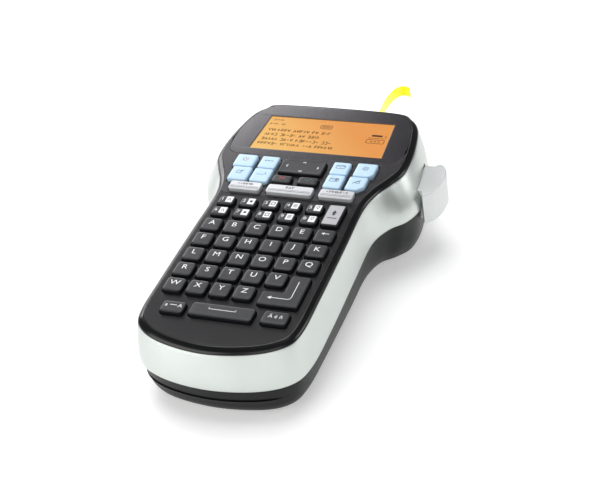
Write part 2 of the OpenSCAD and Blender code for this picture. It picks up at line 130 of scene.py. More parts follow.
# The label's course, seen from above
LABEL = [(TAPE_X, 95), (TAPE_X, 110), (17.4, 125), (17.1, 135), (18, 142.8), (19.6, 148.2), (22.8, 151),
         (27.2, 149.8)]
# The lever seen from above: outer edge and inner side; its pivot, lower and upper face, and its slot
LEVER_EDGE = [(60.4, 56.2), (64.4, 60), (67, 66.5), (67.6, 75), (66.2, 80.6), (63.6, 84), (61, 84.4)]
LEVER_INNER = [(60, 82.5), (54.5, 82.3), (54.5, 60.8), (59.3, 60.5), (59.3, 58)]
LEVER_PIVOT = (42, 57)
LEVER_Z = (-29.5, -12)
LEVER_PIN_R = 1.5
SLOT_X = (48, 70)
SLOT_Y = (60.2, 84)
# Low and high corner of each opening in the rear of the band: label slot, power inlet, data socket
REAR_Y = (104, 120)
REAR_OPENINGS = [
    ((TAPE_X - 1, REAR_Y[0], -18.5), (TAPE_X + 1, REAR_Y[1], -5.5)),
    ((-30.5, REAR_Y[0], -16.5), (-19.5, REAR_Y[1], -9.5)),
    ((-14, REAR_Y[0], -15.2), (-5, REAR_Y[1], -10.8)),
]
SCREW_BORE_R = 2.3
BOARD_POSTS = [(-29, -58), (29, -58), (-29, 14), (29, 14)]
SCREWS = [(-24, -72.5), (24, -72.5), (-40.5, 68.5), (40.5, 68.5), (-40, 95), (40, 95)]
FEET = [(-30.5, -71), (30.5, -71), (-42, 72), (42, 72)]
# Hinge line, far edge, half width and half barrel length of each underside door
DOORS = {"cassette_door": (34.6, 93, 30, 20), "battery_door": (-73, -14, 24, 15)}
HINGE_Z = 2.6
FOOT_BORE_R = 4.1

# Key places: centre and size
SHIFT = ((28.4, 16.2), (9, 16.4))
BACKSPACE = ((2.5 * PITCH, 0), KEY_SIZE)
CAPS = ((-23.4, -62.2), (11.4, 7.6))
SPACE = ((0.6, -61.4), (31, 8.6))
ACCENT = ((26.5, -61.2), (12.4, 8.4))
NAVIGATION = ((-0.5, 52.9), (23.4, 11.6))
CANCEL = ((-7.6, 41.5), (10.4, 6))
OK = ((6.3, 41.8), (10.4, 6))
BARS = [((-24.4, 33.2), (17, 6.8)), ((-0.4, 33.2), (24.4, 6.8)), ((24.2, 33.2), (18, 6.8))]
ENTER_X = (14.2, 33.8)
ENTER_Y = (-53.2, -31.4)
ENTER_ARM = 9.4
# Lower left corner, size and corner cut of each blue key
BLUE = [(-38, 49.4, 11.2, 10.2, 0), (-24.4, 49.4, 9.8, 10.2, 0), (-36.6, 37.6, 10.6, 11.3, 0),
        (-24.6, 37.6, 10.2, 11.3, 0), (14.6, 49.4, 9.4, 10.4, 0), (27, 49.4, 10.8, 11.2, 2.4),
        (14.8, 37.9, 9.4, 11, 0), (26.4, 37.9, 9.8, 11, 3.2)]
# Upper and lower blue key of each opening
BLUE_PAIRS = [(0, 2), (1, 3), (4, 6), (5, 7)]
LETTER_ROWS = ["ABCDE", "FGHIJK", "LMNOPQ", "RSTUV", "WXYZ"]


# ---------------------------------------------------------------- outlines
def smooth_at(p, q, r, s, t):
    """A Catmull-Rom point between q and r."""
    return tuple(
        0.5 * (2 * b + (c - a) * t + (2 * a - 5 * b + 4 * c - d) * t * t + (3 * b - a - 3 * c + d) * t ** 3)
        for a, b, c, d in zip(p, q, r, s)
    )


def smooth_loop(points, steps=8):
    """A smooth closed line through all points."""
    n = len(points)
    return [
        smooth_at(points[i - 1], points[i], points[(i + 1) % n], points[(i + 2) % n], k / steps)
        for i in range(n)
        for k in range(steps)
    ]


def smooth_path(points, steps=6):
    """A smooth open line through all points."""
    last = len(points) - 1
    path = [
        smooth_at(points[max(i - 1, 0)], points[i], points[i + 1], points[min(i + 2, last)], k / steps)
        for i in range(last)
        for k in range(steps)
    ]
    return path + [points[last]]


def whole(half):
    """A half outline with its mirror image added."""
    return half + [(-x, y) for x, y in half[-2:0:-1]]


def inset(loop, distance):
    """An anticlockwise loop moved inwards; distance is a number or a function of a point."""
    moved = []
    for i, (x, y) in enumerate(loop):
        before = Vector(loop[i - 1])
        after = Vector(loop[(i + 1) % len(loop)])
        along = (after - before).normalized()
        d = distance((x, y)) if callable(distance) else distance
        moved.append((x - along.y * d, y + along.x * d))
    return moved


def mix_loops(a, b, t):
    """The loop at share t of the way from a to b."""
    return [tuple(u * (1 - t) + v * t for u, v in zip(p, q)) for p, q in zip(a, b)]


def at_height(loop, z):
    return [(p[0], p[1], z) for p in loop]


def round_rect(centre, size, r, steps=5):
    loop = []
    for corner, (sx, sy) in enumerate([(1, 1), (-1, 1), (-1, -1), (1, -1)]):
        for k in range(steps + 1):
            a = math.radians(90 * corner + 90 * k / steps)
            loop.append((centre[0] + sx * (size[0] / 2 - r) + r * math.cos(a),
                         centre[1] + sy * (size[1] / 2 - r) + r * math.sin(a)))
    return loop


def round_corners(points, r, steps=4):
    """A polygon with its corners rounded by short curves of reach r."""
    loop = []
    for i, p in enumerate(points):
        corner = Vector(p)
        start = corner + (Vector(points[i - 1]) - corner).normalized() * r
        end = corner + (Vector(points[(i + 1) % len(points)]) - corner).normalized() * r
        for k in range(steps + 1):
            t = k / steps
            loop.append(tuple(start * (1 - t) ** 2 + corner * 2 * t * (1 - t) + end * t * t))
    return loop


def circle(centre, r, steps=32):
    turns = [2 * math.pi * k / steps for k in range(steps)]
    return [(centre[0] + r * math.cos(a), centre[1] + r * math.sin(a)) for a in turns]


def clip(loop, limit, keep_low):
    """The part of a loop on one side of the line y = limit."""
    kept = []
    sign = 1 if keep_low else -1
    for i, b in enumerate(loop):
        a = loop[i - 1]
        inside_a = sign * (limit - a[1]) >= 0
        inside_b = sign * (limit - b[1]) >= 0
        if inside_a != inside_b:
            t = (limit - a[1]) / (b[1] - a[1])
            kept.append((a[0] + (b[0] - a[0]) * t, limit))
        if inside_b:
            kept.append(b)
    return kept


cover_line = smooth_loop(whole(COVER))
band_line = smooth_loop(whole(BAND))
foot_line = smooth_loop(whole(FOOT))
lens_line = smooth_loop(whole(LENS))


def key_rect(place, r=1.6):
    return round_rect(place[0], place[1], r)


def letter_place(row, column):
    return (((column - 2.5) * PITCH, -row * PITCH), KEY_SIZE)


def digit_place(i):
    return (((i % 5 - 2.5) * PITCH, DIGIT_ROWS[i // 5]), DIGIT_SIZE)


def blue_outline(b):
    x0, y0, w, h, cut = b
    x1, y1 = x0 + w, y0 + h
    if cut:
        return round_corners([(x1, y0 + cut), (x1, y1), (x0, y1), (x0, y0), (x1 - cut, y0)], 1.2)
    return round_rect(((x0 + x1) / 2, (y0 + y1) / 2), (w, h), 1.1)


def enter_outline():
    (x0, x1), (y0, y1), a = ENTER_X, ENTER_Y, ENTER_ARM
    return round_corners([(x1, y0), (x1, y1), (x1 - a, y1), (x1 - a, y0 + a), (x0, y0 + a), (x0, y0)], 1.3)


# ---------------------------------------------------------------- mesh building
# Angles at which a quarter-round edge is drawn, the corner of a sharp box, and the merge distance in metres
EDGE_ANGLES = [math.pi / 8 * k for k in range(5)]
SHARP_R = 0.01
MERGE = 1e-7


class Build:
    """Collects solids with a material slot number each, and makes one piece of them."""

    def __init__(self):
        self.verts = []
        self.faces = []
        self.slots = []

    def add(self, verts, faces, slot=0):
        start = len(self.verts)
        self.verts += [tuple(v) for v in verts]
        self.faces += [tuple(start + i for i in f) for f in faces]
        self.slots += [slot] * len(faces)

    def loft(self, rings, slot=0, ring_loop=False):
        """A skin through rings that run anticlockwise and upwards, closed by end faces or into a loop."""
        n = len(rings[0])
        m = len(rings)
        faces = [
            (k * n + i, k * n + (i + 1) % n, (k + 1) % m * n + (i + 1) % n, (k + 1) % m * n + i)
            for k in range(m if ring_loop else m - 1)
            for i in range(n)
        ]
        if not ring_loop:
            faces.append(tuple(range(n - 1, -1, -1)))
            faces.append(tuple((m - 1) * n + i for i in range(n)))
        self.add([p for ring in rings for p in ring], faces, slot)

    def prism(self, loop, z0, z1, slot=0, soft=0.0):
        """An upright solid, with its upper edge rounded by soft."""
        rings = [at_height(loop, z0)]
        if soft:
            rings += [at_height(inset(loop, soft * (1 - math.cos(a))), z1 - soft + soft * math.sin(a))
                      for a in EDGE_ANGLES]
        else:
            rings.append(at_height(loop, z1))
        self.loft(rings, slot)

    def box(self, low, high, soft=0.0):
        centre = ((low[0] + high[0]) / 2, (low[1] + high[1]) / 2)
        size = (high[0] - low[0], high[1] - low[1])
        self.prism(round_rect(centre, size, max(soft, SHARP_R), 3 if soft else 1), low[2], high[2], soft=soft)

    def stroke(self, path, width, z, slot=0, closed=False):
        """A flat line of even width along path."""
        n = len(path)
        left, right = [], []
        for i, p in enumerate(path):
            before = Vector(path[i - 1] if closed or i else p)
            after = Vector(path[(i + 1) % n] if closed or i < n - 1 else p)
            along = (after - before).normalized()
            side = Vector((-along.y, along.x)) * width / 2
            left.append(Vector(p) + side)
            right.append(Vector(p) - side)
        count = n if closed else n - 1
        for i in range(count):
            j = (i + 1) % n
            quad = [right[i], right[j], left[j], left[i]]
            self.loft([at_height(quad, z), at_height(quad, z + INK_T)], slot)

    def add_curve(self, curve, place, slot=0):
        """Adds the solid that a font or outline curve makes, each vertex where place puts it."""
        holder = bpy.data.objects.new("holder", curve)
        links.link(holder)
        depsgraph = bpy.context.evaluated_depsgraph_get()
        flat = bpy.data.meshes.new_from_object(holder.evaluated_get(depsgraph))
        self.add([place(v.co) for v in flat.vertices], [tuple(p.vertices) for p in flat.polygons], slot)
        bpy.data.objects.remove(holder)
        bpy.data.curves.remove(curve)
        bpy.data.meshes.remove(flat)

    def text(self, words, centre, size, z, slot=0, stretch=1.0):
        """Raised lettering centred on a point."""
        curve = bpy.data.curves.new("lettering", "FONT")
        curve.body = words
        curve.size = size
        curve.align_x = "CENTER"
        curve.extrude = 0.025
        curve.resolution_u = 3
        middle = 0.35 * size
        self.add_curve(curve, lambda v: (centre[0] + v.x * stretch, centre[1] + v.y - middle, z + v.z), slot)

    def plate(self, outline, holes, z0, z1, soft):
        """A flat plate with holes, all its edges rounded by soft."""
        curve = bpy.data.curves.new("plate", "CURVE")
        curve.dimensions = "2D"
        curve.fill_mode = "BOTH"
        curve.bevel_depth = soft
        curve.bevel_resolution = 2
        curve.extrude = (z1 - z0) / 2 - soft
        for loop in [inset(outline, soft)] + [inset(h, -soft) for h in holes]:
            spline = curve.splines.new("POLY")
            spline.points.add(len(loop) - 1)
            spline.use_cyclic_u = True
            for point, (x, y) in zip(spline.points, loop):
                point.co = (x, y, 0, 1)
        self.add_curve(curve, lambda v: (v.x, v.y, v.z + (z0 + z1) / 2))

    def mesh(self, name, matrix=DECK):
        """One mesh of all solids so far, turned into metres of the row frame by matrix."""
        data = bpy.data.meshes.new(name)
        data.from_pydata(self.verts, [], self.faces)
        for polygon, slot in zip(data.polygons, self.slots):
            polygon.material_index = slot
        data.transform(matrix)
        model = bmesh.new()
        model.from_mesh(data)
        bmesh.ops.remove_doubles(model, verts=model.verts, dist=MERGE)
        bmesh.ops.recalc_face_normals(model, faces=model.faces)
        model.to_mesh(data)
        model.free()
        data.update()
        return data


def finish_piece(name, data, body, materials, replaced=(), angle=32):
    """Makes data a smooth-shaded piece on a body, standing for the CAD nodes it replaces."""
    for m in materials:
        data.materials.append(m)
    for polygon in data.polygons:
        polygon.use_smooth = True
    data.set_sharp_from_angle(angle=math.radians(angle))
    piece = bpy.data.objects.new(name, data)
    links.link(piece)
    even = piece.modifiers.new("even_normals", "WEIGHTED_NORMAL")
    even.keep_sharp = True
    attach(piece, body)
    if replaced:
        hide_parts(*replaced)
    return piece


def cut_boxes(data, cutters):
    """Cuts the solids of a Build-made mesh list out of data."""
    holder = bpy.data.objects.new("cut", data)
    links.link(holder)
    tools = []
    for cutter in cutters:
        tool = bpy.data.objects.new("cutter", cutter)
        links.link(tool)
        tools.append(tool)
        modifier = holder.modifiers.new("cut", "BOOLEAN")
        modifier.operation = "DIFFERENCE"
        modifier.solver = "EXACT"
        modifier.object = tool
    depsgraph = bpy.context.evaluated_depsgraph_get()
    result = bpy.data.meshes.new_from_object(holder.evaluated_get(depsgraph))
    for tool in tools:
        bpy.data.objects.remove(tool)
    bpy.data.objects.remove(holder)
    return result


def box_cutter(low, high, matrix=DECK):
    build = Build()
    build.box(low, high)
    return build.mesh("cutter", matrix)


def round_cutter(centre, r, z0, z1, matrix=DECK):
    build = Build()
    build.prism(circle(centre, r), z0, z1)
    return build.mesh("cutter", matrix)


# ---------------------------------------------------------------- materials
# Scale of the slow changes of colour and roughness, per metre
CLOUD_SCALE = 45


def srgb(r, g, b):
    """A linear colour from 0 to 255 display values."""
    return tuple(((c / 255 + 0.055) / 1.055) ** 2.4 if c > 10 else c / 255 / 12.92 for c in (r, g, b)) + (1,)


def material(name, colour, roughness, metallic=0.0, coat=0.0, coat_roughness=0.1, grain=(2200, 0.12),
             vary=0.12, rough_vary=0.08, specular=0.5, bump_scale=0.00006):
    """Moulded or painted surface: colour and roughness vary softly, and a fine grain lifts the surface.

    grain is the scale and the strength of the grain; vary and rough_vary are shares of colour and roughness.
    """
    mat = bpy.data.materials.new(name)
    mat.use_nodes = True
    tree = mat.node_tree
    shader = tree.nodes["Principled BSDF"]
    shader.inputs["Metallic"].default_value = metallic
    shader.inputs["Coat Weight"].default_value = coat
    shader.inputs["Coat Roughness"].default_value = coat_roughness
    shader.inputs["Specular IOR Level"].default_value = specular
    place = tree.nodes.new("ShaderNodeTexCoord")
    cloud = tree.nodes.new("ShaderNodeTexNoise")
    cloud.inputs["Scale"].default_value = CLOUD_SCALE
    cloud.inputs["Detail"].default_value = 3
    ramp = tree.nodes.new("ShaderNodeValToRGB")
    ramp.color_ramp.elements[0].position = 0.3
    ramp.color_ramp.elements[1].position = 0.7
    ramp.color_ramp.elements[0].color = tuple(c * (1 - vary) for c in colour[:3]) + (1,)
    ramp.color_ramp.elements[1].color = tuple(min(1, c * (1 + vary)) for c in colour[:3]) + (1,)
    spread = tree.nodes.new("ShaderNodeMapRange")
    spread.inputs["To Min"].default_value = max(0.02, roughness - rough_vary)
    spread.inputs["To Max"].default_value = min(1, roughness + rough_vary)
    fine = tree.nodes.new("ShaderNodeTexNoise")
    fine.inputs["Scale"].default_value = grain[0]
    fine.inputs["Detail"].default_value = 2
    bump = tree.nodes.new("ShaderNodeBump")
    bump.inputs["Strength"].default_value = grain[1]
    bump.inputs["Distance"].default_value = bump_scale
    tree.links.new(place.outputs["Object"], cloud.inputs["Vector"])
    tree.links.new(place.outputs["Object"], fine.inputs["Vector"])
    tree.links.new(cloud.outputs["Fac"], ramp.inputs["Fac"])
    tree.links.new(ramp.outputs["Color"], shader.inputs["Base Color"])
    tree.links.new(cloud.outputs["Fac"], spread.inputs["Value"])
    tree.links.new(spread.outputs["Result"], shader.inputs["Roughness"])
    tree.links.new(fine.outputs["Fac"], bump.inputs["Height"])
    tree.links.new(bump.outputs["Normal"], shader.inputs["Normal"])
    return mat


def glow(name, low, high, strength):
    """A lit panel whose colour runs from one side to the other."""
    mat = material(name, srgb(70, 42, 14), 0.4, grain=(3000, 0.02), specular=0.2)
    tree = mat.node_tree
    shader = tree.nodes["Principled BSDF"]
    place = tree.nodes.new("ShaderNodeTexCoord")
    split = tree.nodes.new("ShaderNodeSeparateXYZ")
    tilt = tree.nodes.new("ShaderNodeMath")
    tilt.operation = "MULTIPLY_ADD"
    tilt.inputs[1].default_value = 0.35
    cells = tree.nodes.new("ShaderNodeTexNoise")
    cells.inputs["Scale"].default_value = 60
    wobble = tree.nodes.new("ShaderNodeMath")
    wobble.operation = "MULTIPLY_ADD"
    wobble.inputs[1].default_value = 0.12
    ramp = tree.nodes.new("ShaderNodeValToRGB")
    ramp.color_ramp.elements[0].position = 0.05
    ramp.color_ramp.elements[1].position = 1.0
    ramp.color_ramp.elements[0].color = low
    ramp.color_ramp.elements[1].color = high
    shader.inputs["Emission Strength"].default_value = strength
    tree.links.new(place.outputs["Generated"], split.inputs["Vector"])
    tree.links.new(place.outputs["Object"], cells.inputs["Vector"])
    tree.links.new(split.outputs["Y"], tilt.inputs[0])
    tree.links.new(split.outputs["X"], tilt.inputs[2])
    tree.links.new(cells.outputs["Fac"], wobble.inputs[0])
    tree.links.new(tilt.outputs["Value"], wobble.inputs[2])
    tree.links.new(wobble.outputs["Value"], ramp.inputs["Fac"])
    tree.links.new(ramp.outputs["Color"], shader.inputs["Emission Color"])
    return mat


silver = material("silver_paint", srgb(206, 212, 208), 0.38, metallic=0.85, coat=0.08, coat_roughness=0.25,
                  grain=(6000, 0.06), vary=0.03, rough_vary=0.03)
keypad_black = material("keypad_black", srgb(9, 8, 11), 0.26, grain=(2600, 0.12), vary=0.1, rough_vary=0.03,
                        specular=0.3)
# Painted sheen: the head plate is the keypad's black plastic, given a lighter purple-grey for the sheen the
# back-left light lays on it
head_black_painted_sheen = material("head_black_painted_sheen", srgb(24, 21, 26), 0.26, grain=(2600, 0.12), rough_vary=0.03)
rim_black = material("rim_black", srgb(9, 10, 10), 0.22, grain=(1500, 0.03), specular=0.45)
lens_gloss = material("lens_gloss", srgb(30, 27, 32), 0.2, coat=0.6, coat_roughness=0.15, grain=(1500, 0.02),
                      rough_vary=0.03)
base_dark = material("base_dark", srgb(17, 18, 20), 0.42, grain=(3200, 0.3), vary=0.1, specular=0.25)
key_dark = material("key_dark", srgb(23, 25, 29), 0.32, grain=(3600, 0.25), specular=0.4, rough_vary=0.04)
key_grey = material("key_grey", srgb(176, 176, 180), 0.45, grain=(3600, 0.3), vary=0.05)
key_blue = material("key_blue", srgb(190, 220, 243), 0.42, coat=0.1, grain=(3600, 0.2), vary=0.03)
key_silver = material("key_silver", srgb(206, 209, 212), 0.32, metallic=0.35, grain=(5000, 0.15), vary=0.05)
white_ink = material("white_ink", srgb(238, 240, 240), 0.5, vary=0.03)
dark_ink = material("dark_ink", srgb(40, 52, 76), 0.5, vary=0.08)
red_ink = material("red_ink", srgb(176, 44, 50), 0.5, vary=0.06)
green_ink = material("green_ink", srgb(60, 112, 84), 0.5, vary=0.06)
black_ink = material("black_ink", srgb(22, 22, 24), 0.5, vary=0.06)
lcd_ink = material("lcd_ink", srgb(66, 38, 14), 0.5, vary=0.1, specular=0.1)
lever_grey = material("lever_grey", srgb(214, 218, 217), 0.34, metallic=0.45, grain=(3600, 0.2), vary=0.03)
label_yellow = material("label_yellow", srgb(252, 246, 20), 0.3, coat=0.3, grain=(900, 0.05), vary=0.04)
board_green = material("board_green", srgb(38, 92, 56), 0.35, grain=(700, 0.4), vary=0.25)
mat_grey = material("mat_grey", srgb(60, 61, 66), 0.6, grain=(1800, 0.4))
steel = material("steel", srgb(176, 178, 182), 0.3, metallic=1.0, grain=(1800, 0.2), vary=0.05)
off_white = material("off_white", srgb(222, 221, 214), 0.45, grain=(2200, 0.2), vary=0.04)
rubber = material("rubber", srgb(30, 31, 32), 0.75, grain=(1600, 0.6))
gear_white = material("gear_white", srgb(232, 229, 216), 0.4, grain=(1800, 0.2), vary=0.04)
brass = material("brass", srgb(196, 158, 84), 0.3, metallic=1.0, grain=(1800, 0.2), vary=0.08)
cell_sleeve = material("cell_sleeve", srgb(70, 92, 140), 0.3, coat=0.4, grain=(1200, 0.1), vary=0.1)
# Painted light: an emission makes the label, and the spool that shares its finish, glow faintly yellow
# although neither is a lamp
label_painted_glow_shader = label_yellow.node_tree.nodes["Principled BSDF"]
label_painted_glow_shader.inputs["Emission Color"].default_value = (0.95, 0.9, 0.02, 1)
label_painted_glow_shader.inputs["Emission Strength"].default_value = 0.3
lcd_amber = glow("lcd_amber", srgb(255, 205, 106), srgb(240, 156, 66), 0.8)

# CAD nodes that keep their shape
for name, finish in {
    "circuit_board": board_green,
    "display_panel": base_dark,
    "keypad_mat": mat_grey,
    "cutter_blade": steel,
    "tape_cassette": off_white,
    "tape_spool": label_yellow,
    "print_head": steel,
    "platen_roller": rubber,
    "drive_gear": gear_white,
    "motor_pinion": brass,
    "drive_motor": steel,
    "battery_pack": cell_sleeve,
    "rubber_feet": rubber,
    "case_screws": steel,
    "cassette_door": base_dark,
    "battery_door": base_dark,
}.items():
    node = nodes[name]
    for place in node.material_slots:
        place.material = finish
    soften = node.modifiers.new("soft_edges", "BEVEL")
    soften.width = 0.15 * MM
    soften.segments = 2
    soften.limit_method = "ANGLE"
    soften.angle_limit = math.radians(40)


# ---------------------------------------------------------------- shells
def silver_shell():
    """The band between cover and case: flares outwards downwards and swells at the head."""
    top = -COVER_T - SEAM
    depth = -BAND_Z - top
    # Share of the depth, and how far the outline has gone from the cover's to the band's there
    swell_at = [(0, 0), (0.3, 0.46), (0.62, 0.83), (0.88, 0.98), (1, 0.97)]
    lower_line = mix_loops(cover_line, band_line, swell_at[-1][1])
    outer = [at_height(mix_loops(cover_line, band_line, swell), top + depth * level)
             for level, swell in smooth_path(swell_at, 5)]
    lip = 0.35
    bend = lip * 0.3
    outer[0] = at_height(inset(cover_line, bend), top - bend)
    outer.insert(0, at_height(inset(cover_line, lip), top))
    outer[-1] = at_height(inset(lower_line, bend), -BAND_Z + bend)
    outer.append(at_height(inset(lower_line, lip), -BAND_Z))
    inner = [at_height(inset(mix_loops(cover_line, band_line, swell), WALL), top + depth * level)
             for level, swell in [swell_at[4], swell_at[2], swell_at[0]]]
    build = Build()
    build.loft(outer + inner, ring_loop=True)
    slot_top = LEVER_Z[1] + 0.35
    cutters = [box_cutter((SLOT_X[0], SLOT_Y[0], -BAND_Z - 1), (SLOT_X[1], SLOT_Y[1], slot_top))]
    cutters += [box_cutter(low, high) for low, high in REAR_OPENINGS]
    data = cut_boxes(build.mesh("silver_band"), cutters)
    finish_piece("silver_band", data, "case", [silver], ["silver_shell"])


def deck_to_world(loop, z):
    """A loop at a deck depth, in millimetres of the row frame."""
    turn = Matrix.Translation((0, DECK_Y, DECK_H)) @ Matrix.Rotation(math.radians(TILT), 4, "X")
    return [tuple(turn @ Vector((x, y, z))) for x, y in loop]


def deck_depth(rise, y):
    """The deck z of a point rise above the underside."""
    return rise - DECK_H - y * math.sin(math.radians(TILT))


def front(point):
    """1 at the front of the case, falling to 0 where the sides begin."""
    return min(1, max(0, (-62 - point[1]) / 14)) * min(1, max(0, (34 - point[0]) / 8))


# Shares of the height at which each section of the case has a ring, from the toe upwards
CASE_STEPS = [(0, 0.25, 0.5, 0.75), (0, 0.2, 0.4, 0.6, 0.8), (0, 0.2, 0.3, 0.32, 0.37, 0.4, 0.55, 0.75)]
# Depth of the groove round the front of the case, by section and share of the section's height
GROOVE = {(2, 0.3): -0.35, (2, 0.32): 0.5, (2, 0.37): 0.5, (2, 0.4): 0.15}
# The knee of the case: the foot's share in its outline, and its share of the band's height
KNEE_SHARE = 0.45
KNEE_RISE = 0.42


def lower_case():
    """The dark bowl under the band, with its door openings and screw wells."""
    rim_z = -BAND_Z - SEAM
    top = deck_to_world(inset(band_line, CASE_INSET), rim_z)
    knee = [(t[0] * (1 - KNEE_SHARE) + f[0] * KNEE_SHARE, t[1] * (1 - KNEE_SHARE) + f[1] * KNEE_SHARE,
             t[2] * KNEE_RISE) for t, f in zip(top, foot_line)]
    heel = at_height(inset(foot_line, -0.3), 2.6)
    toe = at_height(inset(foot_line, 2), 0.9)
    chain = [toe, heel, knee, top]
    stack = []
    for k, steps in enumerate(CASE_STEPS):
        a, b, c, d = chain[max(k - 1, 0)], chain[k], chain[k + 1], chain[min(k + 2, 3)]
        for t in steps:
            ring = [smooth_at(p, q, r, w, t) for p, q, r, w in zip(a, b, c, d)]
            depth = GROOVE.get((k, t), 0)
            moved = inset([q[:2] for q in ring], lambda q: depth * front(q))
            stack.append([(x, y, q[2]) for (x, y), q in zip(moved, ring)])
    stack.append(top)
    under = [at_height(inset(foot_line, 5), 0), at_height(inset(foot_line, 3.4), 0.25)]
    inside = [deck_to_world(inset(band_line, CASE_INSET + WALL), rim_z),
              at_height(inset(foot_line, WALL + 1.4), 5), at_height(inset(foot_line, WALL + 2.6), WALL)]
    build = Build()
    build.loft(under + stack + inside)
    openings = []
    for hinge_y, far_y, half, _ in DOORS.values():
        openings.append(box_cutter((-half - 0.5, hinge_y - 3.6, -1), (half + 0.5, far_y + 0.5, 4), WORLD))
    for foot in FEET:
        openings.append(round_cutter(foot, FOOT_BORE_R, -1, 1, WORLD))
    for screw in SCREWS:
        low = deck_depth(-3, screw[1])
        openings.append(round_cutter(screw, SCREW_BORE_R, low, low + 8))
    openings.append(box_cutter((SLOT_X[0], SLOT_Y[0], LEVER_Z[0] - 0.8), (SLOT_X[1], SLOT_Y[1], -BAND_Z + 2)))
    data = cut_boxes(build.mesh("lower_shell", WORLD), openings)
    finish_piece("lower_shell", data, "case", [base_dark], ["lower_case"])


def case_fittings():
    """Screw posts, lever post, board posts and the doors' hinge lugs."""
    posts = Build()
    post_top = -14.3
    for screw in SCREWS:
        floor_z = deck_depth(3, screw[1])
        ring = circle(screw, 3.1)
        bore = circle(screw, SCREW_BORE_R)
        posts.loft([at_height(ring, floor_z), at_height(ring, post_top), at_height(bore, post_top),
                    at_height(bore, floor_z)], ring_loop=True)
    posts.prism(circle(LEVER_PIVOT, 2.6), 2 - DECK_H, LEVER_Z[0] - 0.4)
    posts.prism(circle(LEVER_PIVOT, LEVER_PIN_R), LEVER_Z[0] - 0.5, LEVER_Z[1] + 2)
    for place in BOARD_POSTS:
        posts.prism(circle(place, 2), deck_depth(3, place[1]), -8.1)
    finish_piece("inner_posts", posts.mesh("inner_posts"), "case", [base_dark])
    lugs = Build()
    lug_half = 1.6
    for hinge_y, _, _, barrel in DOORS.values():
        for side in (-1, 1):
            x = side * (barrel + 2.4)
            lugs.box((x - lug_half, hinge_y - 6, 1.1), (x + lug_half, hinge_y + 2.2, HINGE_Z + 2.2), soft=0.3)
    finish_piece("hinge_lugs", lugs.mesh("hinge_lugs", WORLD), "case", [base_dark])


def rim_width(point):
    """The rim narrows behind the window."""
    t = min(1, max(0, (point[1] - NARROW_FROM) / NARROW_OVER))
    return RIM_W + (RIM_W_REAR - RIM_W) * t


def head_outline(inner):
    """The head plate: round the front corners of the window and no further back than ARM_END."""
    window = inset(lens_line, -0.2)
    near = [q for q in window if q[1] < ARM_END]
    near.sort(key=lambda q: math.atan2(q[0], 90 - q[1]), reverse=True)
    body = clip(clip(inner, SPLIT_Y + SPLIT_GAP, False), ARM_END, True)
    right = sorted((q for q in body if q[0] > 0), key=lambda q: q[1])
    left = sorted((q for q in body if q[0] < 0), key=lambda q: -q[1])
    return right + near + left


# Section of the rim: share of its width inwards from the cover's edge, and height
RIM_PROFILE = [(1, -COVER_T), (1, -0.2), (0.97, -0.05), (0.92, -0.01), (0.82, -0.14), (0.56, -0.6),
               (0.3, -1.15), (0.13, -1.65), (0.03, -2.2), (0, -COVER_T)]


def cover():
    """Glossy sloping rim, keypad plate and head plate with all key openings."""
    rim = Build()
    rim.loft([at_height(inset(cover_line, lambda q: share * rim_width(q)), z) for share, z in RIM_PROFILE],
             ring_loop=True)
    finish_piece("cover_rim", rim.mesh("cover_rim"), "case", [rim_black], angle=50)
    inner = inset(cover_line, lambda q: rim_width(q) + 0.06)
    holes = [key_rect(letter_place(row, column)) for row, letters in enumerate(LETTER_ROWS)
             for column in range(len(letters))]
    holes += [key_rect(digit_place(i), DIGIT_R) for i in range(10)]
    holes += [key_rect(k, KEY_R) for k in (SHIFT, BACKSPACE, CAPS, SPACE, ACCENT)]
    holes.append(enter_outline())
    holes = [inset(h, -KEY_GAP) for h in holes]
    keypad = Build()
    keypad.plate(clip(inner, SPLIT_Y - SPLIT_GAP, True), holes, -COVER_T, 0, 0.25)
    finish_piece("keypad_plate", keypad.mesh("keypad_plate"), "case", [keypad_black],
                 ["top_fascia"])
    head_holes = [inset(key_rect(k, KEY_R), -KEY_GAP) for k in BARS + [NAVIGATION, CANCEL, OK]]
    head_holes += [joined_openings(BLUE[upper], BLUE[lower]) for upper, lower in BLUE_PAIRS]
    head = Build()
    head.plate(head_outline(inner), head_holes, -COVER_T, 0, 0.1)
    # The head plate's colour, lighter than the keypad's, is painted sheen
    finish_piece("head_plate", head.mesh("head_plate"), "case", [head_black_painted_sheen])


def joined_openings(upper, lower):
    """One opening round two blue keys that stand one above the other."""
    g = KEY_GAP
    ux0, uy0, uw, uh, _ = upper
    lx0, ly0, lw, lh, cut = lower
    meet = (uy0 + ly0 + lh) / 2
    points = [(lx0 + lw + g, ly0 + cut - g * 0.5), (lx0 + lw + g, meet), (ux0 + uw + g, meet + 0.01),
              (ux0 + uw + g, uy0 + uh + g), (ux0 - g, uy0 + uh + g), (ux0 - g, meet + 0.01), (lx0 - g, meet),
              (lx0 - g, ly0 - g), (lx0 + lw - cut + g * 0.5, ly0 - g)]
    if not cut:
        points[-1] = (lx0 + lw - 1.5, ly0 - g)
        points[0] = (lx0 + lw + g, ly0 + 1.5)
    return points


# Strokes of the made-up letters, in shares of a letter's width and height
LETTER_STROKES = [
    ((0, 0), (0, 1)),
    ((0, 0), (0, 1), (1, 1)),
    ((0, 1), (1, 1), (1, 0), (0, 0)),
    ((0, 0.5), (1, 0.5)),
    ((0, 1), (0.5, 0), (1, 1)),
    ((0, 0), (0.5, 1), (1, 0)),
]


def glyphs(build, rng, start, height, counts, width, thick, z):
    """A line of made-up letters in words of the given lengths."""
    x, y = start
    reach = width * 0.62
    bar_chance = 0.6
    for count in counts:
        for _ in range(count):
            strokes = rng.choice(LETTER_STROKES)
            build.stroke([(x + px * reach, y + py * height) for px, py in strokes], thick, z, slot=1)
            if rng.random() < bar_chance:
                build.stroke([(x, y + height * 0.5), (x + reach, y + height * 0.5)], thick, z, slot=1)
            x += width
        x += width * 0.75


